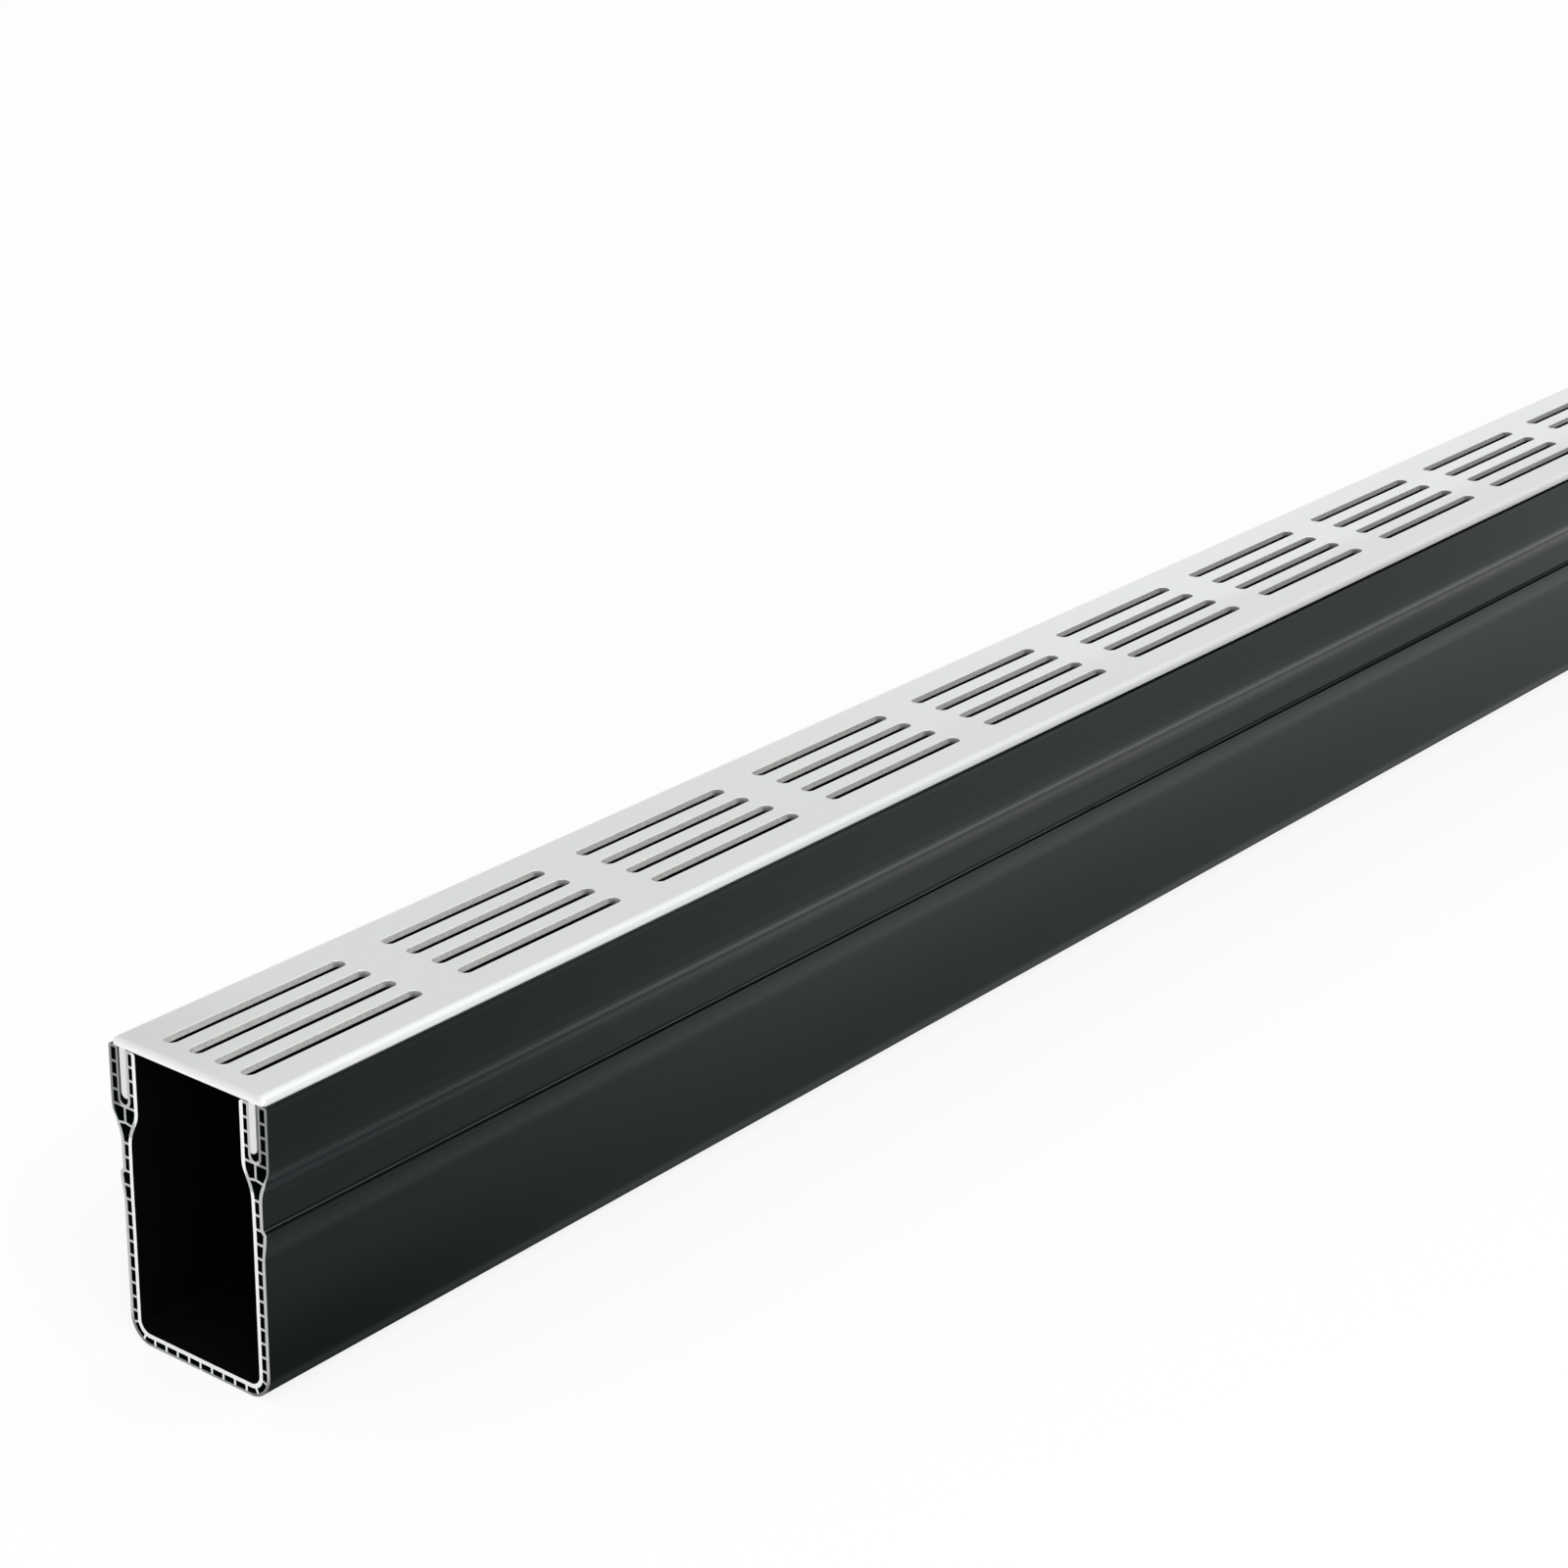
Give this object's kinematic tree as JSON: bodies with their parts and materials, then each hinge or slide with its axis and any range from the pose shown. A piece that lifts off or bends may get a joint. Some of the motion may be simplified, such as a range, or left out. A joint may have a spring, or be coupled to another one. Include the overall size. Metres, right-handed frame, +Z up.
{
  "type": "channel drain",
  "caption": "Straight narrow channel drain: a twin-walled plastic trough, open at both ends, with a slotted metal grating seated in its top.",
  "frame": {"origin": "under the middle of the base, at the centre of the part's box and on the surface it stands on", "axes": "+X along the channel, +Y across it, +Z up through the grating"},
  "size_m": [1, 0.0522, 0.08],
  "materials": {
    "channel_plastic": "dark anthracite, smooth extruded skin with a soft sheen, pale where it is cut",
    "grating_metal": "pale satin, brushed lengthwise"
  },
  "bodies": {
    "root": {"channel_body": "channel_plastic", "grating": "grating_metal"}
  },
  "joints": []
}
